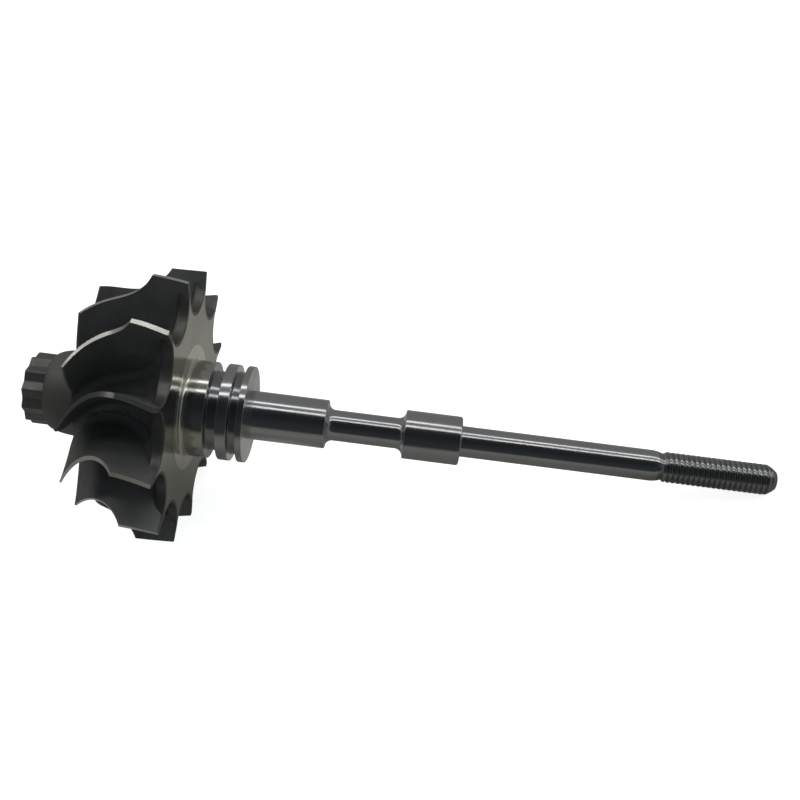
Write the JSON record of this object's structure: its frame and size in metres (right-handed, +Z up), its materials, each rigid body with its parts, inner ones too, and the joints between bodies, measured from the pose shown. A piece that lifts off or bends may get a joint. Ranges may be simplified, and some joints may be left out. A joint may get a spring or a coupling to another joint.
{
  "type": "turbocharger shaft and wheel",
  "caption": "Turbocharger rotor: a cast radial-inflow turbine wheel with a scalloped back disc and a bi-hex nose, on a ground steel shaft with seal grooves, journals and a threaded end.",
  "frame": {"origin": "on the level floor, under the middle of the rotor's bounding box, with the rotor lying on two blade tips and its threaded end", "axes": "+X along the rotor from the nose to the thread, dipping 11.5 degrees, +Z up, +Y across the rotor"},
  "size_m": [0.1434, 0.0522, 0.0524],
  "materials": {
    "cast_wheel": "investment cast nickel alloy, matt and dark",
    "cast_back": "cast nickel alloy, faced and blasted",
    "weld_ring": "fine turned nickel alloy",
    "ground_steel": "cylindrically ground and polished",
    "turned_grooves": "turned",
    "rolled_thread": "rolled thread"
  },
  "bodies": {
    "root": {"drive_nut": "cast_back", "wheel_hub": "cast_wheel", "back_disc": "cast_back", "weld_ring": "weld_ring", "seal_boss": "ground_steel", "ring_groove_1": "turned_grooves", "seal_land": "ground_steel", "ring_groove_2": "turned_grooves", "thrust_disc": "ground_steel", "turbine_journal": "ground_steel", "shaft_waist": "ground_steel", "compressor_journal": "ground_steel", "stub_shaft": "ground_steel", "threaded_end": "rolled_thread", "blade_01": "cast_wheel", "blade_02": "cast_wheel", "blade_03": "cast_wheel", "blade_04": "cast_wheel", "blade_05": "cast_wheel", "blade_06": "cast_wheel", "blade_07": "cast_wheel", "blade_08": "cast_wheel", "blade_09": "cast_wheel", "blade_10": "cast_wheel", "blade_11": "cast_wheel", "blade_12": "cast_wheel"}
  },
  "joints": []
}
